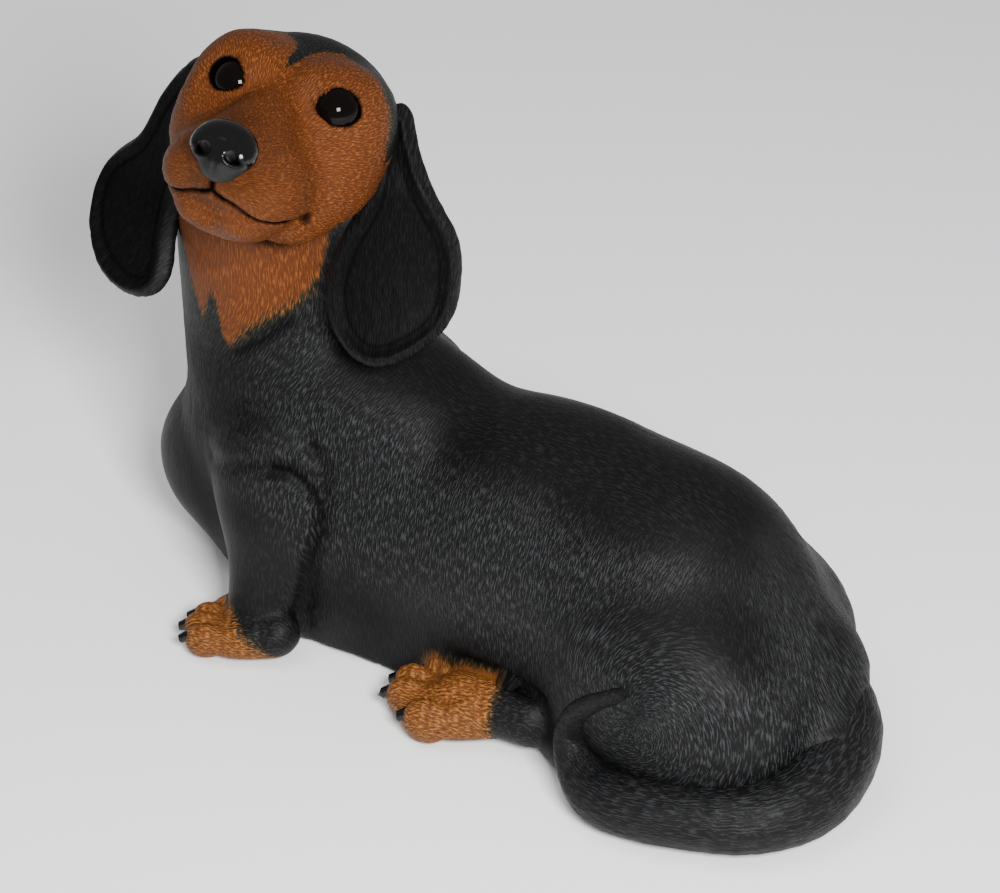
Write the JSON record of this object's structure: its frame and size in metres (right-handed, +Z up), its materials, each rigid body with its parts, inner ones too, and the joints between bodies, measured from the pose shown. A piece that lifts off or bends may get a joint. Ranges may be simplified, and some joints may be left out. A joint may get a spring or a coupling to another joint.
{
  "type": "dog figurine",
  "caption": "Glazed ceramic figurine of a lying black-and-tan dachshund, head turned to its left and lifted, ears hanging, tail wrapped round the haunch, hollow body on felt pads.",
  "frame": {"origin": "centre of the footprint's bounding box, at the underside of the felt pads", "axes": "+X from the breast to the rump, +Y to the dog's right side, +Z up; the dog's face turns towards -Y"},
  "size_m": [0.3182, 0.1602, 0.2306],
  "materials": {
    "black_glaze": "black satin glaze over tooled fur, strokes rubbed grey",
    "tan_glaze": "tan satin glaze over tooled fur, dark wash in the strokes",
    "gloss_black": "gloss black glaze",
    "eye_glass": "polished black glass",
    "felt": "pressed wool felt"
  },
  "bodies": {
    "root": {"body_casting": "black_glaze", "front_left_pad": "felt", "front_right_pad": "felt", "head_casting": "tan_glaze", "left_ear": "black_glaze", "left_eye": "eye_glass", "left_front_claw_1": "gloss_black", "left_front_claw_2": "gloss_black", "left_front_claw_3": "gloss_black", "left_front_claw_4": "gloss_black", "left_front_paw": "tan_glaze", "left_hind_claw_1": "gloss_black", "left_hind_claw_2": "gloss_black", "left_hind_claw_3": "gloss_black", "left_hind_claw_4": "gloss_black", "left_hind_paw": "tan_glaze", "nose": "gloss_black", "rear_left_pad": "felt", "rear_right_pad": "felt", "right_ear": "black_glaze", "right_eye": "eye_glass", "right_front_claw_1": "gloss_black", "right_front_claw_2": "gloss_black", "right_front_claw_3": "gloss_black", "right_front_claw_4": "gloss_black", "right_front_paw": "tan_glaze", "right_hind_claw_1": "gloss_black", "right_hind_claw_2": "gloss_black", "right_hind_claw_3": "gloss_black", "right_hind_claw_4": "gloss_black", "right_hind_paw": "tan_glaze", "tail": "black_glaze"}
  },
  "joints": []
}
